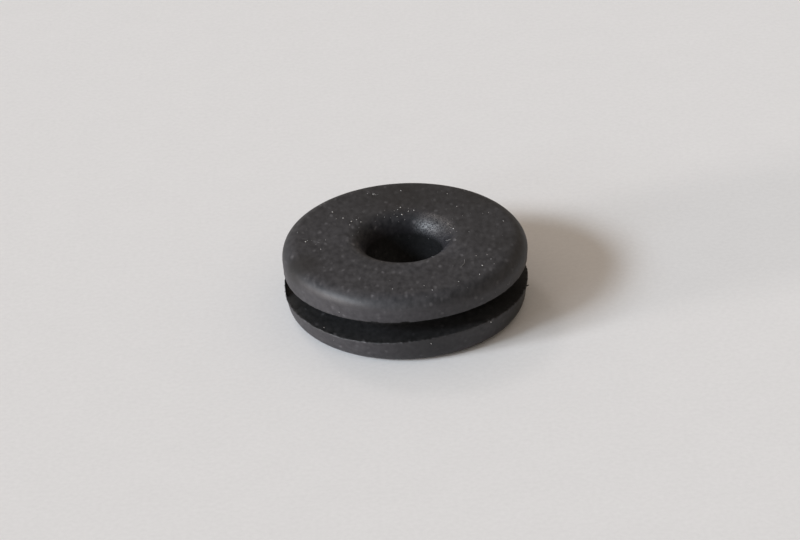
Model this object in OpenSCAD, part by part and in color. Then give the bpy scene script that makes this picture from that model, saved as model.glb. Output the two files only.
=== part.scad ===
// Rubber cable grommet: one moulded ring with two rounded flanges, a groove
// between them that takes the edge of a panel hole, and a bore with rounded mouths.
// Millimetres. The origin is at the middle of the underside; +Z runs along the bore.

/* [Upper flange] */
// Outer diameter of the upper flange
upper_flange_d = 22; // [17.5:0.1:40]
// Thickness of the upper flange
upper_flange_t = 2.4; // [1.8:0.05:8]
// Rounding of the upper flange's outer edge
upper_edge_r = 1.4; // [0.2:0.05:2.2]

/* [Lower flange] */
// Outer diameter of the lower flange
lower_flange_d = 21.8; // [17.5:0.1:40]
// Thickness of the lower flange
lower_flange_t = 2.25; // [2:0.05:8]
// Rounding of the lower flange's outer edge
lower_edge_r = 1.2; // [0.2:0.05:2.2]

/* [Panel groove] */
// Diameter of the groove's floor, which fits the panel hole
groove_d = 15; // [12:0.1:18.5]
// Width of the groove, which fits the panel's thickness
groove_w = 2; // [1:0.05:6]
// Fillet where the groove's floor meets each flange
groove_root_r = 0.3; // [0.05:0.05:0.45]

/* [Bore] */
// Diameter of the bore's straight land
bore_d = 7; // [2:0.1:10]
// Rounding of the bore's upper mouth
upper_mouth_r = 1.8; // [0.2:0.05:2.5]
// Rounding of the bore's lower mouth
lower_mouth_r = 1.8; // [0.2:0.05:2.5]

/* [Hidden] */
$fn = 180;
rubber_colour = [0.2, 0.195, 0.195];

// Overshoot that lets a cut pass cleanly through the blank
cut_over = 1;

upper_flange_r = upper_flange_d / 2;
lower_flange_r = lower_flange_d / 2;
blank_r = max(upper_flange_r, lower_flange_r);
groove_r = groove_d / 2;
bore_r = bore_d / 2;

groove_bottom_z = lower_flange_t;
groove_top_z = groove_bottom_z + groove_w;
total_h = groove_top_z + upper_flange_t;

// What is cut away to round a convex corner. The arc's centre is at the origin,
// and the corner lies towards +X and +Y.
module corner_waste(r) {
    difference() {
        square(r + cut_over);
        circle(r);
    }
}

// Rounds the convex corner at [x, z]. out_x and out_z are 1 or -1 and give the
// side of the corner on which there is no rubber.
module round_corner(x, z, r, out_x, out_z) {
    translate([x - out_x * r, z - out_z * r])
        scale([out_x, out_z])
            corner_waste(r);
}

// The space that the panel's edge fills, with a fillet along each root.
module groove_section() {
    outer_w = blank_r + cut_over - groove_r - groove_root_r;
    translate([groove_r + groove_root_r, groove_bottom_z])
        square([outer_w, groove_w]);
    translate([groove_r, groove_bottom_z + groove_root_r])
        square([groove_root_r + cut_over, groove_w - 2 * groove_root_r]);
    for (z = [groove_bottom_z + groove_root_r, groove_top_z - groove_root_r])
        translate([groove_r + groove_root_r, z])
            circle(groove_root_r);
}

// The plain ring of both flanges and the hub, with square corners.
module blank_section() {
    translate([bore_r, 0])
        square([groove_r - bore_r, total_h]);
    translate([bore_r, 0])
        square([lower_flange_r - bore_r, groove_bottom_z + groove_w / 2]);
    translate([bore_r, groove_bottom_z + groove_w / 2])
        square([upper_flange_r - bore_r, groove_w / 2 + upper_flange_t]);
}

// Half of the grommet's section, to the right of the bore's axis.
module grommet_section() {
    difference() {
        blank_section();
        groove_section();
        round_corner(upper_flange_r, total_h, upper_edge_r, 1, 1);
        round_corner(lower_flange_r, 0, lower_edge_r, 1, -1);
        round_corner(bore_r, total_h, upper_mouth_r, -1, 1);
        round_corner(bore_r, 0, lower_mouth_r, -1, -1);
    }
}

module grommet() {
    color(rubber_colour)
        rotate_extrude()
            grommet_section();
}

grommet();
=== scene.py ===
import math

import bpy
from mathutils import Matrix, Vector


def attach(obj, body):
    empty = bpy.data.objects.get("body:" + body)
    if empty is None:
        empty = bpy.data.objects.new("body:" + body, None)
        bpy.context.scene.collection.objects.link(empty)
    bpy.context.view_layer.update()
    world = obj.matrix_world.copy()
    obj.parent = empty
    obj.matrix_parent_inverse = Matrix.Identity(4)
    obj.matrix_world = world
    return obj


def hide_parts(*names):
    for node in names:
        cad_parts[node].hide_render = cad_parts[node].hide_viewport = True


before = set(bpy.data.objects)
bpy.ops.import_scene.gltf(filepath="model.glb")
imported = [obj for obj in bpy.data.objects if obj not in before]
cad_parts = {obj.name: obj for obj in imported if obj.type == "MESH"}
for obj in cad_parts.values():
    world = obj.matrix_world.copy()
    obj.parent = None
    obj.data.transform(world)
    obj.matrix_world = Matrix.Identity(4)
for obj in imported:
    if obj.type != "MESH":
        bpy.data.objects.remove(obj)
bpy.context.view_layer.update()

# Looks of a moulded rubber grommet. Lengths are in metres unless a name says otherwise,
# the grommet's own sizes are measured on its CAD node, and angles round it are in degrees
# from +X towards +Y, so that -90 is the side that faces the camera.

MM = 0.001
MICRON = 0.000001
SEED = 7


# ---------------------------------------------------------------- node helpers

def add(tree, kind, values=None, **settings):
    """Adds a node. settings are its properties, and values go to its input sockets by
    name or number: a socket is linked, anything else becomes the socket's own value."""
    node = tree.nodes.new(kind)
    for key, value in settings.items():
        setattr(node, key, value)
    for key, value in (values or {}).items():
        feed(tree, value, node.inputs[key])
    return node


def feed(tree, value, socket):
    """Links a socket to an input, or sets the input's own value."""
    if isinstance(value, bpy.types.NodeSocket):
        tree.links.new(value, socket)
    else:
        socket.default_value = value


def calc(tree, operation, *terms):
    """The result of a Math node. Terms are sockets or numbers."""
    node = tree.nodes.new("ShaderNodeMath")
    node.operation = operation
    for term, socket in zip(terms, node.inputs):
        feed(tree, term, socket)
    return node.outputs[0]


def product(tree, first, *others):
    """All the terms multiplied together."""
    for term in others:
        first = calc(tree, "MULTIPLY", first, term)
    return first


def total(tree, first, *others):
    """All the terms added together."""
    for term in others:
        first = calc(tree, "ADD", first, term)
    return first


def vector_calc(tree, operation, a, b=None, scale=None):
    """The vector result of a Vector Math node."""
    node = tree.nodes.new("ShaderNodeVectorMath")
    node.operation = operation
    feed(tree, a, node.inputs[0])
    if b is not None:
        feed(tree, b, node.inputs[1])
    if scale is not None:
        feed(tree, scale, node.inputs["Scale"])
    return node.outputs["Vector"]


def vector_total(tree, first, *others):
    """All the vectors added together."""
    for other in others:
        first = vector_calc(tree, "ADD", first, other)
    return first


def vector_measure(tree, operation, a, b):
    """The number that a Vector Math node gives, such as a distance."""
    return add(tree, "ShaderNodeVectorMath", {0: a, 1: b}, operation=operation).outputs["Value"]


def remap(tree, value, low, high, out_low=0.0, out_high=1.0):
    """Value moved smoothly from the range low..high to out_low..out_high, and kept inside it."""
    node = add(tree, "ShaderNodeMapRange", interpolation_type="SMOOTHSTEP")
    for name, term in (("Value", value), ("From Min", low), ("From Max", high),
                       ("To Min", out_low), ("To Max", out_high)):
        feed(tree, term, node.inputs[name])
    return node.outputs["Result"]


def group_sockets(tree, inputs, outputs):
    """Gives a node group its named sockets. inputs hold (name, kind of value, default)."""
    for name, kind, default in inputs:
        socket = tree.interface.new_socket(name=name, in_out="INPUT",
                                           socket_type="NodeSocket" + kind)
        if default is not None:
            socket.default_value = default
    for name, kind in outputs:
        tree.interface.new_socket(name=name, in_out="OUTPUT", socket_type="NodeSocket" + kind)
    return add(tree, "NodeGroupInput").outputs, add(tree, "NodeGroupOutput").inputs


# ---------------------------------------------------------------- objects

def new_object(name, data):
    """A new object in the scene."""
    made = bpy.data.objects.new(name, data)
    bpy.context.scene.collection.objects.link(made)
    return made


def store_on_points(mesh, name, values):
    """Stores one number for each point of a mesh."""
    attribute = mesh.attributes.new(name, "FLOAT", "POINT")
    attribute.data.foreach_set("value", values)


# ---------------------------------------------------------------- the section

SAME_RADIUS = 5 * MICRON    # radii nearer than this belong to one wall


def measure_section(node):
    """The sizes of the grommet's section, read from the CAD node's vertices."""
    points = [(math.hypot(v.co.x, v.co.y), v.co.z) for v in node.data.vertices]
    height = max(z for r, z in points)
    bore_r = min(r for r, z in points)
    middle = height / 2
    lower_r = max(r for r, z in points if z < middle)
    upper_r = max(r for r, z in points if z > middle)
    lower_wall = [z for r, z in points if z < middle and lower_r - r < SAME_RADIUS]
    upper_wall = [z for r, z in points if z > middle and upper_r - r < SAME_RADIUS]
    land = [z for r, z in points if r - bore_r < SAME_RADIUS]
    lower_lip_z, upper_lip_z = max(lower_wall), min(upper_wall)
    groove_r = min(r for r, z in points
                   if lower_lip_z < z < upper_lip_z and r - bore_r > SAME_RADIUS)
    root_top = min(z for r, z in points
                   if lower_lip_z < z < upper_lip_z and r - groove_r < MICRON)
    return {
        "height": height, "bore_r": bore_r, "lower_r": lower_r, "upper_r": upper_r,
        "lower_lip_z": lower_lip_z, "upper_lip_z": upper_lip_z, "groove_r": groove_r,
        "root_r": root_top - lower_lip_z, "lower_edge_r": min(lower_wall),
        "upper_edge_r": height - max(upper_wall), "lower_mouth_r": min(land),
        "upper_mouth_r": height - max(land),
    }


def straight(a, b, steps):
    """Points along a straight stretch, from a to just before b."""
    return [(a[0] + (b[0] - a[0]) * i / steps, a[1] + (b[1] - a[1]) * i / steps)
            for i in range(steps)]


def arc(centre, radius, start, end, steps):
    """Points along a round stretch between two angles, without its last point."""
    turn = [math.radians(start + (end - start) * i / steps) for i in range(steps)]
    return [(centre[0] + radius * math.cos(a), centre[1] + radius * math.sin(a)) for a in turn]


LIP_R = 0.08 * MM           # the small rounding of a moulded lip
LIP_REACH = 0.22 * MM       # how far along the section a lip's unevenness is felt
UPPER_TAPER = 0.06 * MM     # how far the upper flange's wall draws in towards its lip
LOWER_FLARE = 0.05 * MM     # how far the lower flange's lip stands out
LOWER_BELLY = 0.15 * MM     # how far the lower flange's belly lies inside its lip
STEPS = {                   # pieces that each stretch of the section is divided into
    "flat": 6, "lower edge": 12, "lower wall": 6, "lip": 2, "groove side": 5, "root": 3,
    "groove floor": 3, "upper wall": 7, "upper edge": 13, "upper mouth": 14, "land": 5,
    "lower mouth": 10,
}


def section_outline(s):
    """The closed outline of the section, walked with the rubber on its left: out along
    the underside, up and in round the groove, and back down the bore. Gives the points
    and the places in that list of the two lips and of the upper mouth's outer end."""
    h = s["height"]
    belly = s["lower_r"] - LOWER_BELLY
    lower_flat = belly - s["lower_edge_r"]
    upper_flat = s["upper_r"] - s["upper_edge_r"]
    lower_bore = s["bore_r"] + s["lower_mouth_r"]
    upper_bore = s["bore_r"] + s["upper_mouth_r"]
    upper_edge_z = h - s["upper_edge_r"]
    mouth_z = h - s["upper_mouth_r"]
    lz, uz, gr, rr = s["lower_lip_z"], s["upper_lip_z"], s["groove_r"], s["root_r"]
    lower_lip = s["lower_r"] + LOWER_FLARE
    upper_lip = s["upper_r"] - UPPER_TAPER
    walk = straight((lower_bore, 0), (lower_flat, 0), STEPS["flat"])
    walk += arc((lower_flat, s["lower_edge_r"]), s["lower_edge_r"], -90, 0, STEPS["lower edge"])
    walk += straight((belly, s["lower_edge_r"]), (lower_lip, lz - LIP_R), STEPS["lower wall"])
    lower_at = len(walk) + 1
    walk += arc((lower_lip - LIP_R, lz - LIP_R), LIP_R, 0, 90, STEPS["lip"])
    walk += straight((lower_lip - LIP_R, lz), (lower_lip - LIP_REACH, lz), STEPS["lip"])
    walk += straight((lower_lip - LIP_REACH, lz), (gr + rr, lz), STEPS["groove side"])
    walk += arc((gr + rr, lz + rr), rr, 270, 180, STEPS["root"])
    walk += straight((gr, lz + rr), (gr, uz - rr), STEPS["groove floor"])
    walk += arc((gr + rr, uz - rr), rr, 180, 90, STEPS["root"])
    walk += straight((gr + rr, uz), (upper_lip - LIP_REACH, uz), STEPS["groove side"])
    walk += straight((upper_lip - LIP_REACH, uz), (upper_lip - LIP_R, uz), STEPS["lip"])
    upper_at = len(walk) + 1
    walk += arc((upper_lip - LIP_R, uz + LIP_R), LIP_R, -90, 0, STEPS["lip"])
    walk += straight((upper_lip, uz + LIP_R), (s["upper_r"], upper_edge_z), STEPS["upper wall"])
    walk += arc((upper_flat, upper_edge_z), s["upper_edge_r"], 0, 90, STEPS["upper edge"])
    walk += straight((upper_flat, h), (upper_bore, h), STEPS["flat"])
    mouth_at = len(walk)
    walk += arc((upper_bore, mouth_z), s["upper_mouth_r"], 90, 180, STEPS["upper mouth"])
    walk += straight((s["bore_r"], mouth_z), (s["bore_r"], s["lower_mouth_r"]), STEPS["land"])
    walk += arc((lower_bore, s["lower_mouth_r"]), s["lower_mouth_r"], 180, 270,
                STEPS["lower mouth"])
    return walk, lower_at, upper_at, mouth_at


def between(value, low, high):
    """How far value lies from low to high, from 0 to 1."""
    return min(1.0, max(0.0, (value - low) / (high - low)))


HUB_REACH = 1 * MM          # how far outside the bore the groove's lean begins
DENT_REACH = 2 * MM         # how far outside the mouth the bore's dent is felt
FREE_HEIGHT = 0.8 * MM      # how far up the underside holds the skin still
INSIDE_LIMIT = 0.6          # mm inside or outside the lip, past which it makes no difference
DOWN_LIMIT = 3.5            # mm down the bore, past which it makes none either
SHOULDER_RISE = 1.4         # over 1, the shoulder is marked most above its middle


def outline_marks(s, walk, lower_at, upper_at, mouth_at):
    """What the ring needs to know at each point of its section: how much it follows each
    lip, how near it is to one, how free it is to wander, whether it is on the shoulder, the
    lower flange or by the bore, and, in millimetres along the section, how far it lies inside
    the groove and down the bore."""
    places = [0.0]
    for (x0, z0), (x1, z1) in zip(walk, walk[1:]):
        places.append(places[-1] + math.hypot(x1 - x0, z1 - z0))
    whole = places[-1] + math.hypot(walk[-1][0] - walk[0][0], walk[-1][1] - walk[0][1])
    bore_mouth_r = s["bore_r"] + s["upper_mouth_r"]
    rows = []
    for (r, z), place in zip(walk, places):
        from_lower = place - places[lower_at]
        from_upper = places[upper_at] - place
        down = min(place - places[mouth_at], whole - place)
        outside = between(r, s["bore_r"] + HUB_REACH, s["groove_r"])
        up_groove = between(z, s["lower_lip_z"], s["upper_lip_z"])
        below = between(z, s["lower_edge_r"] * 0.5, s["lower_lip_z"])
        above = 1 - between(z, s["upper_lip_z"], s["height"] - s["upper_edge_r"] * 0.5)
        on_shoulder = between(z, s["height"] - s["upper_edge_r"], s["height"]) ** SHOULDER_RISE
        rows.append({
            "lower_lean": below * (1 - up_groove) * outside,
            "upper_lean": above * up_groove * outside,
            "lower_lip": max(0.0, 1 - abs(from_lower) / LIP_REACH),
            "upper_lip": max(0.0, 1 - abs(from_upper) / LIP_REACH),
            "inside": max(-INSIDE_LIMIT, min(INSIDE_LIMIT, min(from_lower, from_upper) / MM)),
            "free": between(z, 0, FREE_HEIGHT),
            "lower_side": (1 - up_groove) * outside,
            "bore_side": 1 - between(r, bore_mouth_r, bore_mouth_r + DENT_REACH),
            "down_bore": max(0.0, min(DOWN_LIMIT, down / MM)),
            "shoulder": outside * 4 * on_shoulder * (1 - on_shoulder),
        })
    return rows


def outline_object(s):
    """The section's outline as a mesh of points in order, with the marks as attributes."""
    walk, *stations = section_outline(s)
    mesh = bpy.data.meshes.new("outline")
    mesh.from_pydata([(r, 0, z) for r, z in walk],
                     [(i, (i + 1) % len(walk)) for i in range(len(walk))], [])
    rows = outline_marks(s, walk, *stations)
    for name in MARKS:
        store_on_points(mesh, name, [row[name] for row in rows])
    return new_object("grommet_body", mesh)


# ---------------------------------------------------------------- geometry trees

MARKS = ("lower_lean", "upper_lean", "lower_lip", "upper_lip", "inside", "free", "shoulder",
         "lower_side", "bore_side", "down_bore")


def noise_offset(tree, position, scale, detail, seed):
    """A random vector field with its middle at zero. scale is in features per metre."""
    noise = add(tree, "ShaderNodeTexNoise",
                {"Vector": position, "W": seed, "Scale": scale, "Detail": detail},
                noise_dimensions="4D")
    return vector_calc(tree, "SUBTRACT", noise.outputs["Color"], (0.5, 0.5, 0.5))


def axes(tree, vector):
    """The X, Y and Z sockets of a vector."""
    return add(tree, "ShaderNodeSeparateXYZ", {0: vector}).outputs


def upright(tree, height):
    """A vector that points straight up by height."""
    return add(tree, "ShaderNodeCombineXYZ", {"Z": height}).outputs[0]


def mark_field(tree, name):
    """The field of a named float attribute."""
    return add(tree, "GeometryNodeInputNamedAttribute", {"Name": name},
               data_type="FLOAT").outputs["Attribute"]


def position_field(tree):
    """Where each point is."""
    return add(tree, "GeometryNodeInputPosition").outputs[0]


def outward_field(tree, position):
    """The level direction straight away from the axis."""
    return vector_calc(tree, "NORMALIZE", vector_calc(tree, "MULTIPLY", position, (1, 1, 0)))


def surface_geometry(tree, given):
    """The geometry of the object that comes in as Surface."""
    return add(tree, "GeometryNodeObjectInfo", {"Object": given["Surface"]},
               transform_space="RELATIVE").outputs["Geometry"]


def random_field(tree, seed, low=None, high=None):
    """A random number from 0 to 1 for each point, or a random vector from low to high."""
    if low is None:
        return add(tree, "FunctionNodeRandomValue", {"Seed": seed},
                   data_type="FLOAT").outputs["Value"]
    return add(tree, "FunctionNodeRandomValue", {"Min": low, "Max": high, "Seed": seed},
               data_type="FLOAT_VECTOR").outputs["Value"]


def swept_ring(tree, outline, steps):
    """The outline swept once round the Z axis, from a grid with a row for each point of
    the outline and a column for each step. The last row and column close on the first."""
    count = add(tree, "GeometryNodeAttributeDomainSize", {"Geometry": outline})
    points = count.outputs["Point Count"]
    rows = calc(tree, "ADD", points, 1)
    grid = add(tree, "GeometryNodeMeshGrid",
               {"Size X": 1.0, "Size Y": 1.0, "Vertices X": calc(tree, "ADD", steps, 1),
                "Vertices Y": rows})
    index = add(tree, "GeometryNodeInputIndex").outputs[0]
    column = calc(tree, "FLOOR", calc(tree, "DIVIDE", calc(tree, "ADD", index, 0.5), rows))
    row = calc(tree, "SUBTRACT", index, product(tree, column, rows))
    point = calc(tree, "FLOOR", calc(tree, "MODULO", calc(tree, "ADD", row, 0.25), points))
    angle = product(tree, calc(tree, "DIVIDE", column, steps), math.tau)

    geometry = grid.outputs["Mesh"]
    for mark in MARKS:
        sampled = add(tree, "GeometryNodeSampleIndex",
                      {"Geometry": outline, "Value": mark_field(tree, mark), "Index": point},
                      data_type="FLOAT", domain="POINT")
        geometry = add(tree, "GeometryNodeStoreNamedAttribute",
                       {"Geometry": geometry, "Name": mark, "Value": sampled.outputs["Value"]},
                       data_type="FLOAT", domain="POINT").outputs["Geometry"]
    section = add(tree, "GeometryNodeSampleIndex",
                  {"Geometry": outline, "Value": position_field(tree), "Index": point},
                  data_type="FLOAT_VECTOR", domain="POINT").outputs["Value"]
    turned = add(tree, "ShaderNodeVectorRotate", {"Vector": section, "Angle": angle},
                 rotation_type="Z_AXIS").outputs[0]
    geometry = add(tree, "GeometryNodeSetPosition",
                   {"Geometry": geometry, "Position": turned}).outputs["Geometry"]
    return add(tree, "GeometryNodeMergeByDistance",
               {"Geometry": geometry, "Distance": MICRON}).outputs["Geometry"]


def facing_side(tree, around, side):
    """The cosine of the angle round the axis from a side."""
    return calc(tree, "COSINE", calc(tree, "SUBTRACT", around, side))


def hump(tree, around, side, half_width):
    """A smooth hump round the axis, 1 at its side and 0 from its half width on."""
    return remap(tree, facing_side(tree, around, side), calc(tree, "COSINE", half_width), 1.0)


def lip_rise(tree, given, position, around):
    """How far each point is lifted by the lean and the wave of its lip, by the nicks in the
    upper lip and by a fin of flash on the lower one."""
    rise = 0.0
    for side in ("Lower", "Upper"):
        slope = vector_measure(tree, "DOT_PRODUCT", position, given[side + " lean"])
        turns = product(tree, around, given[side + " waves"])
        wave = calc(tree, "COSINE", calc(tree, "SUBTRACT", turns, given[side + " wave start"]))
        lift = total(tree, slope, product(tree, wave, given[side + " wave height"]),
                     given[side + " lift"])
        rise = total(tree, rise, product(tree, lift, mark_field(tree, side.lower() + "_lean")))
    nicks = 0.0
    for number in ("1", "2"):
        away = calc(tree, "ABSOLUTE", calc(tree, "SUBTRACT", around, given["Nick " + number]))
        deep = remap(tree, away, product(tree, given["Nick half width"], 0.5),
                     given["Nick half width"], 1.0, 0.0)
        nicks = total(tree, nicks, deep)
    nicks = product(tree, nicks, given["Nick depth"], mark_field(tree, "upper_lip"))
    fin = hump(tree, around, given["Fin side"], given["Fin half width"])
    fin = product(tree, fin, given["Fin height"], mark_field(tree, "lower_lip"))
    return total(tree, nicks, fin, rise)


SWELL_SCALE = 130           # features in each metre: of the moulding's unevenness,
RIPPLE_SCALE = 900          # of its finer ripple,
TEAR_SCALE = 2900           # and of the tears along its lips
DENT_ENDS = -0.3            # cosine of the angle from its middle at which the bore's dent ends


def skin_offset(tree, given, position, around):
    """Along the normal: unevenness of the whole moulding, a finer ripple, and a shoulder that
    is fuller on one side than on the other."""
    normal = add(tree, "GeometryNodeInputNormal").outputs[0]
    swell = axes(tree, noise_offset(tree, position, SWELL_SCALE, 1.0, given["Seed"]))["X"]
    ripple = axes(tree, noise_offset(tree, position, RIPPLE_SCALE, 2.0, given["Seed"]))["Y"]
    proud = total(tree, product(tree, swell, given["Unevenness"]),
                  product(tree, ripple, given["Ripple"]))
    proud = product(tree, proud, mark_field(tree, "free"))
    full = hump(tree, around, given["Shoulder fullest"], given["Shoulder half width"])
    full = product(tree, full, given["Shoulder fullness"], mark_field(tree, "shoulder"))
    return vector_calc(tree, "SCALE", normal, scale=total(tree, proud, full))


def torn_offset(tree, given, position, outward):
    """Ragged lips: small burrs and tears, out from the axis and up or down."""
    tear = axes(tree, noise_offset(tree, position, TEAR_SCALE, 2.5, given["Seed"]))
    torn = vector_total(tree, vector_calc(tree, "SCALE", outward, scale=tear["X"]),
                        upright(tree, tear["Y"]))
    rough = total(tree, product(tree, mark_field(tree, "lower_lip"), given["Lower raggedness"]),
                  product(tree, mark_field(tree, "upper_lip"), given["Upper raggedness"]))
    return vector_calc(tree, "SCALE", torn, scale=rough)


def drawn_offset(tree, given, around, outward):
    """A bore that is drawn in on one side, and a lower flange a little off the axis."""
    facing = facing_side(tree, around, given["Bore dent side"])
    inward = product(tree, remap(tree, facing, DENT_ENDS, 1.0), given["Bore dent"],
                     mark_field(tree, "bore_side"), -1.0)
    aside = vector_calc(tree, "SCALE", outward, scale=inward)
    shift = vector_calc(tree, "SCALE", given["Lower shift"], scale=mark_field(tree, "lower_side"))
    return vector_total(tree, aside, shift)


LIP_INPUTS = (
    ("lean", "Vector", (0, 0, 0)),
    ("lift", "Float", 0.0),
    ("waves", "Float", 4.0),
    ("wave start", "Float", 0.0),
    ("wave height", "Float", 0.0),
    ("raggedness", "Float", 0.0),
)
RING_INPUTS = [
    ("Outline", "Geometry", None),
    ("Steps round", "Int", 600),
    ("Unevenness", "Float", 0.0),
    ("Ripple", "Float", 0.0),
    ("Shoulder fullness", "Float", 0.0),
    ("Shoulder fullest", "Float", 0.0),
    ("Shoulder half width", "Float", 1.0),
    ("Bore dent", "Float", 0.0),
    ("Bore dent side", "Float", 0.0),
    ("Lower shift", "Vector", (0, 0, 0)),
    ("Nick 1", "Float", 0.0),
    ("Nick 2", "Float", 0.0),
    ("Nick half width", "Float", 0.03),
    ("Nick depth", "Float", 0.0),
    ("Fin side", "Float", 0.0),
    ("Fin half width", "Float", 0.05),
    ("Fin height", "Float", 0.0),
    ("Seed", "Float", 0.0),
    ("Rubber", "Material", None),
] + [(side + " " + name, kind, default) for side in ("Lower", "Upper")
     for name, kind, default in LIP_INPUTS]


def ring_tree():
    """Sweeps the outline into a closed ring, then gives it what moulding leaves: a groove
    that leans and waves a little, faint unevenness, and lips ragged from trimmed flash."""
    tree = bpy.data.node_groups.new("moulded_ring", "GeometryNodeTree")
    given, made = group_sockets(tree, RING_INPUTS, [("Ring", "Geometry")])
    geometry = swept_ring(tree, given["Outline"], given["Steps round"])
    position = position_field(tree)
    place = axes(tree, position)
    around = calc(tree, "ARCTAN2", place["Y"], place["X"])
    outward = outward_field(tree, position)
    offset = vector_total(
        tree, drawn_offset(tree, given, around, outward),
        upright(tree, lip_rise(tree, given, position, around)),
        skin_offset(tree, given, position, around), torn_offset(tree, given, position, outward))
    geometry = add(tree, "GeometryNodeSetPosition",
                   {"Geometry": geometry, "Offset": offset}).outputs["Geometry"]
    geometry = add(tree, "GeometryNodeSetShadeSmooth",
                   {"Geometry": geometry, "Shade Smooth": True}).outputs["Geometry"]
    finish(tree, geometry, given["Rubber"], made["Ring"])
    return tree


def finish(tree, geometry, material, output):
    """Ends a tree: instances become real geometry, and the material goes on."""
    geometry = add(tree, "GeometryNodeRealizeInstances",
                   {"Geometry": geometry}).outputs["Geometry"]
    feed(tree, add(tree, "GeometryNodeSetMaterial",
                   {"Geometry": geometry, "Material": material}).outputs["Geometry"], output)


PATCHES = {                 # where dust lies thickly: azimuth, then radius and height in mm
    "Patch 1": (88, 4.8, 6.5), "Patch 2": (16, 4.8, 6.5), "Patch 3": (146, 6.0, 6.6),
    "Patch 4": (-80, 9.2, 6.6), "Patch 5": (-130, 10.9, 1.4), "Patch 6": (180, 7.6, 6.6),
    "Patch 7": (18, 8.1, 6.6),
}
SETTLES = (-0.6, 0.8)       # the normal's Z from which dust settles, and above which it all does
SWEPT_HEIGHT = (0.3 * MM, 0.5 * MM)  # the foot of the wall is free of dust up to here
GROOVE_DUST = 0.15          # how much of the dust gets into the groove
LIP_BLUR = 0.1              # mm on either side of a lip over which that changes
SIZE_RARITY = 8.0           # how few of the grains are large
LEAST_SHAPE = (0.6, 0.5, 0.35)      # a grain's least and greatest half axes, in sizes
MOST_SHAPE = (1.3, 1.0, 0.7)


def scattered_grains(tree, given, surface):
    """Points with a size, scattered over a surface: evenly where it faces up, and more
    thickly in patches."""
    position = position_field(tree)
    thick = 0.0
    for name in PATCHES:
        away = vector_measure(tree, "DISTANCE", position, given[name])
        thick = total(tree, thick, remap(tree, away, 0.0, given["Patch radius"], 1.0, 0.0))
    facing = axes(tree, add(tree, "GeometryNodeInputNormal").outputs[0])["Z"]
    density = total(tree, product(tree, given["Even density"], remap(tree, facing, *SETTLES)),
                    product(tree, given["Patch density"], thick))
    above = remap(tree, axes(tree, position)["Z"], *SWEPT_HEIGHT)
    inside = remap(tree, mark_field(tree, "inside"), -LIP_BLUR, LIP_BLUR, 1.0, GROOVE_DUST)
    density = product(tree, density, product(tree, above, inside))
    scattered = add(tree, "GeometryNodeDistributePointsOnFaces",
                    {"Mesh": surface, "Density": density, "Seed": given["Seed"]})
    spread = calc(tree, "SUBTRACT", given["Largest"], given["Smallest"])
    chance = calc(tree, "POWER", random_field(tree, given["Seed"]), SIZE_RARITY)
    size = total(tree, given["Smallest"], product(tree, spread, chance))
    return add(tree, "GeometryNodeStoreNamedAttribute",
               {"Geometry": scattered.outputs["Points"], "Name": "size", "Value": size},
               data_type="FLOAT", domain="POINT").outputs["Geometry"]


def grains_tree():
    """Settled dust: flattened grains scattered over a surface, besides the single grains
    whose points come in with a size."""
    tree = bpy.data.node_groups.new("settled_dust", "GeometryNodeTree")
    given, made = group_sockets(tree, [
        ("Single grains", "Geometry", None),
        ("Surface", "Object", None),
        ("Even density", "Float", 0.0),
        ("Patch density", "Float", 0.0),
        ("Patch radius", "Float", 0.001),
        ("Smallest", "Float", 0.00001),
        ("Largest", "Float", 0.00005),
        ("Seed", "Int", 0),
        ("Dust", "Material", None),
    ] + [(name, "Vector", (0, 0, 0)) for name in PATCHES], [("Grains", "Geometry")])
    surface = surface_geometry(tree, given)
    singles = on_surface(tree, given["Single grains"], surface)
    points = join(tree, add(tree, "GeometryNodeMeshToPoints", {"Mesh": singles}).outputs["Points"],
                  scattered_grains(tree, given, surface))
    grain = add(tree, "GeometryNodeMeshIcoSphere", {"Radius": 1.0, "Subdivisions": 1})
    shape = random_field(tree, given["Seed"], LEAST_SHAPE, MOST_SHAPE)
    spin = random_field(tree, given["Seed"], (0, 0, 0), (math.tau, math.tau, math.tau))
    grains = add(tree, "GeometryNodeInstanceOnPoints",
                 {"Points": points, "Instance": grain.outputs["Mesh"], "Rotation": spin,
                  "Scale": vector_calc(tree, "SCALE", shape, scale=mark_field(tree, "size"))})
    finish(tree, grains.outputs["Instances"], given["Dust"], made["Grains"])
    return tree


def join(tree, *parts):
    """Several geometries as one."""
    node = add(tree, "GeometryNodeJoinGeometry")
    for part in reversed(parts):
        tree.links.new(part, node.inputs[0])
    return node.outputs[0]


def on_surface(tree, geometry, surface, lift=0.0):
    """Moves each point to the nearest place on the surface, then up by lift."""
    nearest = add(tree, "GeometryNodeProximity", {"Geometry": surface}, target_element="FACES")
    place = vector_calc(tree, "ADD", nearest.outputs["Position"], upright(tree, lift))
    return add(tree, "GeometryNodeSetPosition",
               {"Geometry": geometry, "Position": place}).outputs["Geometry"]


FIBRE_POINTS = 24           # points along each fibre
FIBRE_SIDES = 6
FIBRE_SEED = 3.0
FIBRE_REST = 0.4            # height of a lying fibre's middle, in thicknesses
FIBRE_SCALE = 2500          # features in each metre of what lifts it


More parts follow.
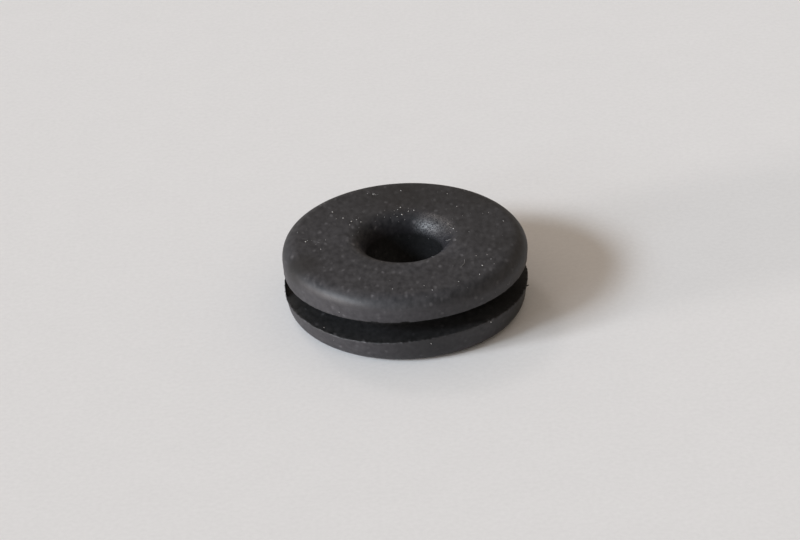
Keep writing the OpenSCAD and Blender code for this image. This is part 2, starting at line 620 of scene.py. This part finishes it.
def lint_tree():
    """Fine fibres that lie on a surface along the paths that come in, lifted here and there."""
    tree = bpy.data.node_groups.new("lint", "GeometryNodeTree")
    given, made = group_sockets(tree, [
        ("Paths", "Geometry", None),
        ("Surface", "Object", None),
        ("Thickness", "Float", 0.00002),
        ("Lift", "Float", 0.0),
        ("Dust", "Material", None),
    ], [("Lint", "Geometry")])
    surface = surface_geometry(tree, given)
    curve = add(tree, "GeometryNodeMeshToCurve", {"Mesh": given["Paths"]}).outputs["Curve"]
    curve = add(tree, "GeometryNodeCurveSplineType", {"Curve": curve},
                spline_type="CATMULL_ROM").outputs["Curve"]
    curve = add(tree, "GeometryNodeResampleCurve",
                {"Curve": curve, "Count": FIBRE_POINTS}).outputs["Curve"]
    rising = noise_offset(tree, position_field(tree), FIBRE_SCALE, 1.0, FIBRE_SEED)
    lift = total(tree, product(tree, given["Thickness"], FIBRE_REST),
                 product(tree, calc(tree, "ABSOLUTE", axes(tree, rising)["X"]), given["Lift"]))
    curve = on_surface(tree, curve, surface, lift)
    ring = add(tree, "GeometryNodeCurvePrimitiveCircle",
               {"Resolution": FIBRE_SIDES, "Radius": product(tree, given["Thickness"], 0.5)})
    fibres = add(tree, "GeometryNodeCurveToMesh",
                 {"Curve": curve, "Profile Curve": ring.outputs["Curve"], "Fill Caps": True})
    finish(tree, fibres.outputs["Mesh"], given["Dust"], made["Lint"])
    return tree


TAG_ASTRAY = 0.5            # how far a tag strays from standing straight out
TAG_SIDES = 6
TAG_TIP, TAG_FOOT, TAG_LENGTH = 0.12, 0.55, 1.6     # its radii and length, in sizes
LEAST_TAG, MOST_TAG = (0.5, 0.7, 0.7), (1.0, 1.6, 1.2)


def tags_tree():
    """Tags of torn moulding flash: small ragged cones that stand out from the surface at
    the points that come in, each as large as its point's size."""
    tree = bpy.data.node_groups.new("flash_tags", "GeometryNodeTree")
    given, made = group_sockets(tree, [
        ("Roots", "Geometry", None),
        ("Surface", "Object", None),
        ("Sink", "Float", 0.3),
        ("Seed", "Int", 0),
        ("Rubber", "Material", None),
    ], [("Tags", "Geometry")])
    surface = surface_geometry(tree, given)
    roots = on_surface(tree, given["Roots"], surface)
    outward = outward_field(tree, position_field(tree))
    wild = random_field(tree, given["Seed"], (-TAG_ASTRAY,) * 3, (TAG_ASTRAY,) * 3)
    turn = add(tree, "FunctionNodeAlignRotationToVector",
               {"Vector": vector_total(tree, outward, wild)}, axis="Z")
    tag = add(tree, "GeometryNodeMeshCone",
              {"Vertices": TAG_SIDES, "Side Segments": 2, "Radius Top": TAG_TIP,
               "Radius Bottom": TAG_FOOT, "Depth": TAG_LENGTH}).outputs["Mesh"]
    sink = upright(tree, product(tree, given["Sink"], -1.0))
    tag = add(tree, "GeometryNodeTransform",
              {"Geometry": tag, "Translation": sink}).outputs["Geometry"]
    shape = random_field(tree, given["Seed"], LEAST_TAG, MOST_TAG)
    tags = add(tree, "GeometryNodeInstanceOnPoints",
               {"Points": roots, "Instance": tag, "Rotation": turn.outputs["Rotation"],
                "Scale": vector_calc(tree, "SCALE", shape, scale=mark_field(tree, "size"))})
    finish(tree, tags.outputs["Instances"], given["Rubber"], made["Tags"])
    return tree


def point_at(azimuth, radius, height):
    """A point from its direction round the axis in degrees, its radius and its height in mm."""
    turn = math.radians(azimuth)
    return Vector((radius * math.cos(turn), radius * math.sin(turn), height)) * MM


def sized_points(name, rows):
    """An object of loose points. rows hold (azimuth, radius, height, size), in mm."""
    mesh = bpy.data.meshes.new(name)
    mesh.from_pydata([point_at(*row[:3]) for row in rows], [], [])
    store_on_points(mesh, "size", [row[3] * MM for row in rows])
    return new_object(name, mesh)


def path_object(name, paths):
    """An object of open paths, each a list of (azimuth, radius, height) in mm."""
    points, edges = [], []
    for path in paths:
        start = len(points)
        points += [point_at(*row) for row in path]
        edges += [(i, i + 1) for i in range(start, len(points) - 1)]
    mesh = bpy.data.meshes.new(name)
    mesh.from_pydata(points, edges, [])
    return new_object(name, mesh)


def apply_tree(piece, tree, values):
    """Runs a geometry tree on a piece and leaves its result as a plain mesh."""
    modifier = piece.modifiers.new(tree.name, "NODES")
    modifier.node_group = tree
    names = {item.name: item.identifier for item in tree.interface.items_tree
             if item.item_type == "SOCKET" and item.in_out == "INPUT"}
    for name, value in values.items():
        modifier[names[name]] = value
    piece.update_tag()
    graph = bpy.context.evaluated_depsgraph_get()
    graph.update()
    mesh = bpy.data.meshes.new_from_object(piece.evaluated_get(graph))
    piece.modifiers.clear()
    piece.data = mesh
    mesh.name = piece.name
    used = [material for material in mesh.materials if material]
    mesh.materials.clear()
    mesh.materials.append(used[0])
    mesh.polygons.foreach_set("material_index", [0] * len(mesh.polygons))
    return piece


# ---------------------------------------------------------------- materials

TOP_BLOOM_AND_LIGHT = (0.0198, 0.0207, 0.0249)  # the colour of the top, bloomed, and tinted bluer as painted light against the warm room it mirrors
WALLS = (0.0209, 0.0199, 0.0226)    # and of the walls, tinted apart from the top as painted light for the bluish window light
MOTES = (0.0208, 0.0202, 0.0212)    # the colour of its mottle and spots
BARE_AND_SHADED = (0.0136, 0.0138, 0.0144)     # and of the groove and the bore: bare rubber, darkened further as painted shade in these recesses
BARE_SHINE = 0.65                   # how strongly the bare rubber mirrors against the outside
BORE_SHINE = 0.30                   # and how strongly the bore's wall does
MOUTH_START, MOUTH_END = 0.1, 1.9   # mm down the bore over which its shine falls
LAND_START, LAND_END = 2.4, 2.9     # and over which its paler colour and its rubbed patch end; below, the bore's dark is partly painted shade
SPOT_TONE = 3.6                     # how much brighter than the rubber the palest spots are
SPOT_SCALE = 2000.0                 # spot cells in each metre
SPOT_RADIUS = 0.50                  # radius of a spot, as a share of its cell
SPOT_RARITY = 4.5                   # how few of the spots are strong
SPOT_BEND = 0.25 * MM               # how far a spot's outline strays
MOTTLE_STRETCH = (1.0, 0.6, 1.0)    # the mottle runs a little along Y
WALL_MOTTLE = 0.5                   # how much of the mottle and spots the walls have
BARE_MOTTLE = 0.5                   # and how much the bare rubber has
EDGE_RAGGED = 0.30                  # mm, how far the dark groove's edge strays
EDGE_SCALE = 3800.0                 # and in how many places in each metre
EDGE_START, EDGE_END = -0.06, 0.04  # mm inside the lip over which the groove darkens
UP_START, UP_END = 0.1, 0.8         # the normal's Z over which a wall turns into the top
TONE_SLOPE = (-10.0, -26.0, 0.0)   # change of tone in each metre: darker towards the rear and towards +X
SHOULDER_SHADE = 0.38                 # how much darker the upper edge is painted, as shade
SHOULDER_SHINE = 0.08               # and how much more that edge mirrors
CREST_AT = (-121, 10.3, 6.1)        # where it mirrors most
CREST_R = 3.0 * MM
CREST_SHINE = 0.33                  # and how much more it does there
PATCH_CORE = 0.2                    # share of a patch's radius that has all of its change
TONE_AND_PAINTED_LIGHT_PATCHES = (                   # azimuth, radius, height; size in mm; change of tone: mostly painted light and shade
    # painted shade on the front-left shoulder
    ((-156, 10.2, 6.2), 2.8, -0.70),
    # darker at the rear and round the right edge of the top, lighter on its left
    ((90, 7.5, 6.6), 4.5, -0.30),
    ((45, 10.0, 6.5), 3.5, -0.30),
    ((-12, 10.2, 6.4), 3.5, -0.25),
    ((165, 6.5, 6.6), 4.0, 0.20),
    # painted light round the front and the shaded left side of the mouth
    ((-85, 4.6, 6.5), 2.6, 0.40),
    ((-35, 4.8, 6.5), 2.4, 0.45),
    ((-170, 4.2, 5.7), 2.4, 0.50),
    # painted light deep in the shaded bore, and painted shade on its rear wall
    ((128, 3.5, 1.4), 4.4, 2.40),
    ((90, 3.6, 4.4), 2.8, -0.35),
    # painted shade on the foot of the front and right walls
    ((-85, 10.9, 1.2), 5.0, -0.50),
    ((-20, 10.9, 1.2), 5.0, -0.75),
)
POLISH_AT = (42, 4.2, 5.9)          # where the bore's mouth is rubbed
POLISH_R = 2.9 * MM
POLISH_CORE = 0.4                   # share of that radius that is rubbed all over
POLISH_SHINE = 1.10                 # how much more it mirrors there
POLISH_SPECKLE = 5.4                # how unevenly
SPECKLE_SCALE = 9000.0              # and in how many places in each metre
POLISH_FROM, POLISH_TO = 0.1, 0.7   # mm down the bore over which the rubbed patch begins,
POLISH_LIP = 0.1                    # and how much of it there is above them
MATT, POLISHED = 0.6, 0.52          # how rough the rubber is, and how rough where it is rubbed
GRAIN, POLISHED_GRAIN = 8 * MICRON, 16 * MICRON     # and how deep its grain is
PLAIN_SHINE = 0.5                   # how strongly plain rubber mirrors


def new_material(name):
    """An empty node material with its Principled BSDF and output."""
    material = bpy.data.materials.new(name)
    material.use_nodes = True
    tree = material.node_tree
    tree.nodes.clear()
    shader = add(tree, "ShaderNodeBsdfPrincipled")
    add(tree, "ShaderNodeOutputMaterial", {"Surface": shader.outputs[0]})
    return material, tree, shader.inputs


def shader_group(name, inputs, outputs):
    """A shader node group with its named sockets."""
    tree = bpy.data.node_groups.new(name, "ShaderNodeTree")
    given, made = group_sockets(tree, inputs, outputs)
    return tree, given, made


def use_group(tree, group, values):
    """A node in tree that runs a shader group with these values. Gives its outputs."""
    return add(tree, "ShaderNodeGroup", values, node_tree=group).outputs


def object_place(tree):
    """The place on the object, in its own metres."""
    return add(tree, "ShaderNodeTexCoord").outputs["Object"]


def stored_mark(tree, name):
    """The value of a named attribute, in a material."""
    return add(tree, "ShaderNodeAttribute", attribute_name=name).outputs["Fac"]


def noise_around_zero(tree, vector, scale, detail):
    """One noise value from -0.5 to 0.5. scale is in features per metre."""
    noise = add(tree, "ShaderNodeTexNoise", {"Vector": vector, "Scale": scale, "Detail": detail})
    return calc(tree, "SUBTRACT", noise.outputs["Fac"], 0.5)


def mottle_group():
    """Uneven tone as a factor round 1, from a broad cloud and a fine one."""
    tree, given, made = shader_group("mottle", [
        ("Vector", "Vector", None),
        ("Broad scale", "Float", 300.0),
        ("Broad amount", "Float", 0.1),
        ("Fine scale", "Float", 3000.0),
        ("Fine amount", "Float", 0.1),
    ], [("Factor", "Float")])
    broad = noise_around_zero(tree, given["Vector"], given["Broad scale"], 2.0)
    fine = noise_around_zero(tree, given["Vector"], given["Fine scale"], 1.0)
    factor = total(tree, product(tree, broad, given["Broad amount"]),
                   product(tree, fine, given["Fine amount"]), 1.0)
    feed(tree, calc(tree, "MAXIMUM", factor, 0.0), made["Factor"])
    return tree


def grain_group():
    """A fine grain on the surface, as a normal. Height is in metres."""
    tree, given, made = shader_group("fine_grain", [
        ("Vector", "Vector", None),
        ("Scale", "Float", 5000.0),
        ("Height", "Float", 0.000005),
    ], [("Normal", "Vector")])
    grain = noise_around_zero(tree, given["Vector"], given["Scale"], 2.0)
    bump = add(tree, "ShaderNodeBump",
               {"Height": grain, "Distance": given["Height"], "Strength": 1.0})
    feed(tree, bump.outputs["Normal"], made["Normal"])
    return tree


def tinted(tree, colour, factor):
    """A colour multiplied by a factor socket."""
    return vector_calc(tree, "SCALE", colour, scale=factor)


def blend(tree, factor, a, b):
    """The colour from a to b, as far as factor says."""
    node = add(tree, "ShaderNodeMix", {"Factor": factor}, data_type="RGBA")
    feed(tree, a, node.inputs["A"])
    feed(tree, b, node.inputs["B"])
    return node.outputs["Result"]


def pale_spots(tree, place):
    """A mask of soft uneven spots, one in each cell, strong in a few cells and faint in most."""
    astray = noise_offset(tree, place, SPOT_SCALE * 1.5, 1.0, 0.0)
    bent = vector_total(tree, place, vector_calc(tree, "SCALE", astray, scale=SPOT_BEND))
    cells = add(tree, "ShaderNodeTexVoronoi", {"Vector": bent, "Scale": SPOT_SCALE})
    disc = remap(tree, cells.outputs["Distance"], 0.0, SPOT_RADIUS, 1.0, 0.0)
    chance = axes(tree, cells.outputs["Color"])["X"]
    return product(tree, disc, calc(tree, "POWER", chance, SPOT_RARITY))


def groove_bloomed_and_lit(tree, place):
    """How pale the rubber is by the groove: not at all inside it, where it is bare and darkened
    as painted shade, up to a ragged line along each lip."""
    ragged = product(tree, noise_around_zero(tree, place, EDGE_SCALE, 2.0), EDGE_RAGGED)
    inside = total(tree, stored_mark(tree, "inside"), ragged)
    return remap(tree, inside, EDGE_START, EDGE_END, 1.0, 0.0)


def round_patch(tree, place, middle, radius, core, inner, outer=0.0):
    """A soft round patch: inner within its core, a share of its radius, and outer past its
    radius. The middle is given as azimuth, radius and height."""
    away = vector_measure(tree, "DISTANCE", place, point_at(*middle))
    return remap(tree, away, radius * core, radius, inner, outer)


def facing_up(tree):
    """How far the surface faces up, from 0 on a wall to 1 on top."""
    normal = add(tree, "ShaderNodeNewGeometry").outputs["Normal"]
    return remap(tree, axes(tree, normal)["Z"], UP_START, UP_END)


def tone_and_painted_light(tree, place, shoulder):
    """The rubber's tone: darker towards the rear and +X, painted shade along the upper edge,
    and painted light and shade in a few patches."""
    slope = total(tree, vector_measure(tree, "DOT_PRODUCT", place, TONE_SLOPE), 1.0)
    # painted shade along the upper edge
    tone = calc(tree, "SUBTRACT", slope, product(tree, shoulder, SHOULDER_SHADE))
    for middle, size, amount in TONE_AND_PAINTED_LIGHT_PATCHES:
        tone = total(tree, tone, round_patch(tree, place, middle, size * MM, PATCH_CORE, amount))
    return tone


def rubber_shine(tree, place, shoulder, bloomed_and_lit, down, polish):
    """How strongly the rubber mirrors: less where it is bare and down the bore, more on the
    shoulder and where it is rubbed."""
    shine = product(tree, remap(tree, bloomed_and_lit, 0.0, 1.0, BARE_SHINE, 1.0),
                    remap(tree, down, MOUTH_START, MOUTH_END, 1.0, BORE_SHINE))
    crest = round_patch(tree, place, CREST_AT, CREST_R, PATCH_CORE, CREST_SHINE, SHOULDER_SHINE)
    shine = calc(tree, "MULTIPLY_ADD", shoulder, crest, shine)
    shine = total(tree, shine, product(tree, polish, POLISH_SHINE))
    return product(tree, shine, PLAIN_SHINE)


def rubbed_patch(tree, place, down, land):
    """How much the bore's mouth is rubbed, in a speckled patch on one side."""
    mouth = product(tree, remap(tree, down, POLISH_FROM, POLISH_TO, POLISH_LIP, 1.0), land)
    speckle = product(tree, noise_around_zero(tree, place, SPECKLE_SCALE, 1.0), POLISH_SPECKLE)
    return product(tree, round_patch(tree, place, POLISH_AT, POLISH_R, POLISH_CORE, 1.0), mouth,
                   total(tree, speckle, 1.0))


def rubber_material(mottle, grain):
    """Matt black moulded rubber, paler outside the groove, with soft pale spots. The groove and
    the bore are darkened partly as painted shade, and its tone holds painted light and shade.
    """
    material, tree, shader = new_material("moulded_rubber")
    place = object_place(tree)
    # the top and the walls are tinted apart, partly as painted light
    up = facing_up(tree)
    shoulder = stored_mark(tree, "shoulder")
    down = stored_mark(tree, "down_bore")
    land = remap(tree, down, LAND_START, LAND_END, 1.0, 0.0)
    # 1 outside the groove, 0 inside it, where the colour is darkened partly as painted shade
    bloomed_and_lit = groove_bloomed_and_lit(tree, place)
    pale = product(tree, bloomed_and_lit, land)
    polish = rubbed_patch(tree, place, down, land)

    drawn = vector_calc(tree, "MULTIPLY", place, MOTTLE_STRETCH)
    mottled = use_group(tree, mottle, {"Vector": drawn, "Broad scale": 500.0, "Broad amount": 0.5,
                                       "Fine scale": 2300.0, "Fine amount": 2.4})["Factor"]
    mottled = total(tree, mottled, product(tree, pale_spots(tree, drawn), SPOT_TONE))
    astray = product(tree, calc(tree, "SUBTRACT", mottled, 1.0),
                     remap(tree, up, 0.0, 1.0, WALL_MOTTLE, 1.0),
                     remap(tree, pale, 0.0, 1.0, BARE_MOTTLE, 1.0))
    # inside the groove and down the bore the colour darkens: bare rubber and painted shade
    plain = blend(tree, pale, (*BARE_AND_SHADED, 1), blend(tree, up, (*WALLS, 1), (*TOP_BLOOM_AND_LIGHT, 1)))
    colour = vector_total(tree, plain, tinted(tree, MOTES, astray))
    colour = vector_calc(tree, "MAXIMUM", colour, (0, 0, 0))
    # the tone holds painted light and shade
    feed(tree, tinted(tree, colour, tone_and_painted_light(tree, place, shoulder)), shader["Base Color"])

    shine = rubber_shine(tree, place, shoulder, bloomed_and_lit, down, polish)
    feed(tree, shine, shader["Specular IOR Level"])
    feed(tree, remap(tree, polish, 0.0, 1.0, MATT, POLISHED), shader["Roughness"])
    height = remap(tree, polish, 0.0, 1.0, GRAIN, POLISHED_GRAIN)
    normal = use_group(tree, grain, {"Vector": place, "Scale": 8000.0, "Height": height})
    feed(tree, normal["Normal"], shader["Normal"])
    return material


BRIGHT_GRAIN = 0.08 * MM            # size from which a grain has its full brightness
SMALL_GRAIN_TONE = 0.3              # and how bright the smallest are


def dust_material(mottle):
    """Pale mineral dust and lint."""
    material, tree, shader = new_material("pale_dust")
    place = object_place(tree)
    tone = use_group(tree, mottle, {"Vector": place, "Broad scale": 700.0, "Broad amount": 1.2,
                                    "Fine scale": 9000.0, "Fine amount": 0.4})["Factor"]
    size = stored_mark(tree, "size")
    tone = product(tree, tone, remap(tree, size, 0.0, BRIGHT_GRAIN, SMALL_GRAIN_TONE, 1.0))
    feed(tree, tinted(tree, (0.62, 0.61, 0.60), tone), shader["Base Color"])
    shader["Roughness"].default_value = 0.85
    return material


def paper_material(mottle, grain):
    """Plain pale paper with a faint cloudiness and tooth."""
    material, tree, shader = new_material("pale_paper")
    place = object_place(tree)
    tone = use_group(tree, mottle, {"Vector": place, "Broad scale": 250.0, "Broad amount": 0.03,
                                    "Fine scale": 2400.0, "Fine amount": 0.09})["Factor"]
    feed(tree, tinted(tree, (0.80, 0.80, 0.80), tone), shader["Base Color"])
    shader["Roughness"].default_value = 0.9
    shader["Specular IOR Level"].default_value = 0.3
    normal = use_group(tree, grain, {"Vector": place, "Scale": 3000.0, "Height": 1 * MICRON})
    feed(tree, normal["Normal"], shader["Normal"])
    return material


# ---------------------------------------------------------------- the pieces

MOULDING = {
    "Steps round": 880,
    "Lower lean": (0.0302, -0.0284, 0.0),
    "Lower lift": -0.12 * MM,
    "Lower waves": 4.0,
    "Lower wave start": math.radians(-268),
    "Lower wave height": 0.11 * MM,
    "Lower raggedness": 0.26 * MM,
    "Upper lean": (0.0263, -0.0177, 0.0),
    "Upper lift": -0.08 * MM,
    "Upper raggedness": 0.10 * MM,
    "Unevenness": 0.05 * MM,
    "Ripple": 0.012 * MM,
    "Shoulder fullness": 0.13 * MM,
    "Shoulder fullest": math.radians(-134),
    "Shoulder half width": math.radians(36),
    "Bore dent": 0.29 * MM,
    "Bore dent side": math.radians(-75),
    "Lower shift": (0.01 * MM, -0.045 * MM, 0.0),
    "Nick 1": math.radians(-105.5),
    "Nick 2": math.radians(-91.5),
    "Nick half width": math.radians(2.2),
    "Nick depth": 0.10 * MM,
    "Fin side": math.radians(179),
    "Fin half width": math.radians(10),
    "Fin height": 0.9 * MM,
    "Seed": float(SEED),
}


def grommet_body(s, rubber):
    """The whole moulding, in place of its CAD node."""
    body = outline_object(s)
    apply_tree(body, ring_tree(), dict(MOULDING, Rubber=rubber))
    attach(body, "root")
    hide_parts("grommet")
    return body


# Single grains and soft specks of dust: azimuth in degrees, then radius, height and size in mm.
GRAINS = (
    (180, 8.8, 6.6, 0.10), (141, 8.2, 6.6, 0.09), (144, 6.7, 6.6, 0.09), (145, 5.7, 6.6, 0.09),
    (147, 7.2, 6.6, 0.05), (-169, 7.6, 6.6, 0.07), (-176, 7.9, 6.6, 0.05), (108, 8.5, 6.6, 0.07),
    (-40, 8.8, 6.6, 0.10), (-80, 8.8, 6.6, 0.07), (91, 4.46, 6.44, 0.11), (92, 5.4, 6.6, 0.09),
    (84, 4.8, 6.6, 0.07), (78, 4.9, 6.6, 0.07), (97, 4.3, 6.35, 0.07), (95, 5.1, 6.6, 0.06),
    (46, 7.1, 6.6, 0.07), (16, 4.65, 6.5, 0.10), (29, 4.6, 6.5, 0.06), (20, 4.5, 6.5, 0.05),
    (-11, 4.7, 6.5, 0.05), (-48.8, 10.9, 2.38, 0.10), (-80, 10.9, 2.0, 0.07), (-135, 10.5, 2.1, 0.07),
    (-123, 11.0, 4.7, 0.06), (45, 3.5, 3.04, 0.06), (-32, 7.4, 6.6, 0.06), (-35, 9.5, 6.6, 0.05),
    (-28, 8.2, 6.6, 0.06), (-8, 10.9, 1.35, 0.06), (100, 4.6, 6.4, 0.05), (105, 4.3, 6.3, 0.045),
    (112, 4.5, 6.4, 0.05), (96, 3.95, 6.0, 0.045), (88, 4.1, 6.1, 0.05), (118, 4.9, 6.5, 0.045),
    (125, 4.4, 6.3, 0.04), (84, 5.2, 6.6, 0.045), (99, 5.0, 6.5, 0.05), (108, 5.3, 6.6, 0.04),
    (150, 4.7, 6.4, 0.045), (158, 4.5, 6.3, 0.045), (140, 4.9, 6.5, 0.04), (12, 4.3, 6.3, 0.05),
    (24, 4.3, 6.3, 0.05), (8, 4.8, 6.5, 0.045),
)
# Fibres: each a path of (azimuth, radius, height).
FIBRES = (
    ((-41, 6.9, 6.6), (-45, 7.3, 6.6), (-50, 7.55, 6.6)),
    ((6, 3.8, 5.8), (-2, 4.0, 6.0), (-3, 4.15, 6.2), (-7, 4.2, 6.3)),
    ((108, 8.7, 6.6), (107, 8.45, 6.6), (107, 8.3, 6.6), (105, 8.3, 6.6)),
)
# Tags of flash on the lips and the wall: azimuth, radius, height and size.
TAGS = (
    (179, 10.9, 6.0, 0.09), (-180, 10.9, 2.2, 0.10), (-175, 10.9, 2.15, 0.12),
    (-9.5, 10.93, 2.05, 0.15), (-97, 10.9, 4.1, 0.06), (-106, 10.9, 4.1, 0.05),
)


def settled_dust(body, dust):
    """The dust that has settled on the grommet."""
    piece = sized_points("dust_grains", GRAINS)
    values = {name: point_at(*place) for name, place in PATCHES.items()}
    values.update({
        "Surface": body, "Even density": 0.6 / MM ** 2, "Patch density": 4.5 / MM ** 2,
        "Patch radius": 2.2 * MM, "Smallest": 0.008 * MM, "Largest": 0.06 * MM, "Seed": SEED,
        "Dust": dust,
    })
    apply_tree(piece, grains_tree(), values)
    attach(piece, "root")


def lint(body, dust):
    """The few fibres that lie on the grommet."""
    piece = path_object("lint_fibres", FIBRES)
    apply_tree(piece, lint_tree(), {"Surface": body, "Thickness": 0.035 * MM,
                                    "Lift": 0.1 * MM, "Dust": dust})
    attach(piece, "root")


def flash_tags(body, rubber):
    """The tags of flash that trimming left on the lips."""
    piece = sized_points("flash_tags", TAGS)
    apply_tree(piece, tags_tree(), {"Surface": body, "Sink": 0.3, "Seed": SEED,
                                    "Rubber": rubber})
    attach(piece, "root")


# ---------------------------------------------------------------- the studio

FLOOR_GAP = 5 * MICRON      # how far the paper lies under the grommet


def make_floor(paper):
    """A wide sheet of pale paper just under the grommet."""
    half = 1.5
    mesh = bpy.data.meshes.new("paper")
    mesh.from_pydata([(-half, -half, 0), (half, -half, 0), (half, half, 0), (-half, half, 0)],
                     [], [(0, 1, 2, 3)])
    mesh.transform(Matrix.Translation((0, 0, -FLOOR_GAP)))
    mesh.materials.append(paper)
    floor = new_object("paper", mesh)


def make_camera():
    """A long lens that looks down at about 30 degrees, held slightly out of level."""
    elevation = math.radians(30.51)
    distance = 275 * MM
    look_at = Vector((-0.51 * MM, 0, 3.25 * MM))
    data = bpy.data.cameras.new("camera")
    data.sensor_width = 36.0
    data.lens = 137.65
    data.clip_start = 0.01
    data.clip_end = 20.0
    camera = new_object("camera", data)
    back = Vector((0, -math.cos(elevation), math.sin(elevation)))
    level = (-back).to_track_quat("-Z", "Y").to_matrix().to_4x4()
    roll = Matrix.Rotation(math.radians(-2.75), 4, "Z")
    camera.matrix_world = Matrix.Translation(look_at + back * distance) @ level @ roll
    bpy.context.scene.camera = camera


WINDOW = (0.895, 1.0, 1.115)        # colour of the daylight from the left
ROOM = (1.17, 1.0, 0.84)            # colour of the room's own light
WALL = (1.12, 1.0, 0.95)            # colour of what the wall behind throws back
PAPER_GLOW = (1.10, 1.0, 0.95)      # and of what the paper throws back
LAMPS = (                           # name, azimuth, elevation, width in degrees, strength
    ("window_front", 212, 29, 12, 1.39, WINDOW),
    ("window_left", 198, 29, 12, 1.055, WINDOW),
    ("window_low", 226, 17, 12, 0.31, WINDOW),
    ("table_glow", 198, 5, 12, 2.25, PAPER_GLOW),
    ("rear_wall", 120, 45, 12, 0.185, WALL),
)
ROOM_STRENGTH = 0.328


def far_lamp(name, azimuth, elevation, width, strength, colour):
    """A far soft light from an azimuth and elevation, as wide as a disc of that many degrees."""
    data = bpy.data.lights.new(name, "SUN")
    data.angle = math.radians(width)
    data.energy = strength
    data.color = colour
    lamp = new_object(name, data)
    a, e = math.radians(azimuth), math.radians(elevation)
    out = Vector((math.cos(a) * math.cos(e), math.sin(a) * math.cos(e), math.sin(e)))
    lamp.matrix_world = (-out).to_track_quat("-Z", "Y").to_matrix().to_4x4()


def make_lights():
    """Daylight from a wide window to the left and a dim room all round."""
    for row in LAMPS:
        far_lamp(*row)
    world = bpy.data.worlds.new("room")
    world.use_nodes = True
    background = world.node_tree.nodes["Background"]
    background.inputs["Color"].default_value = (*ROOM, 1)
    background.inputs["Strength"].default_value = ROOM_STRENGTH
    bpy.context.scene.world = world


bpy.context.scene.view_settings.view_transform = "Standard"
make_camera()
section = measure_section(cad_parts["grommet"])
mottle_tree, grain_tree = mottle_group(), grain_group()
rubber = rubber_material(mottle_tree, grain_tree)
dust = dust_material(mottle_tree)
body = grommet_body(section, rubber)
settled_dust(body, dust)
lint(body, dust)
flash_tags(body, rubber)
make_floor(paper_material(mottle_tree, grain_tree))
make_lights()
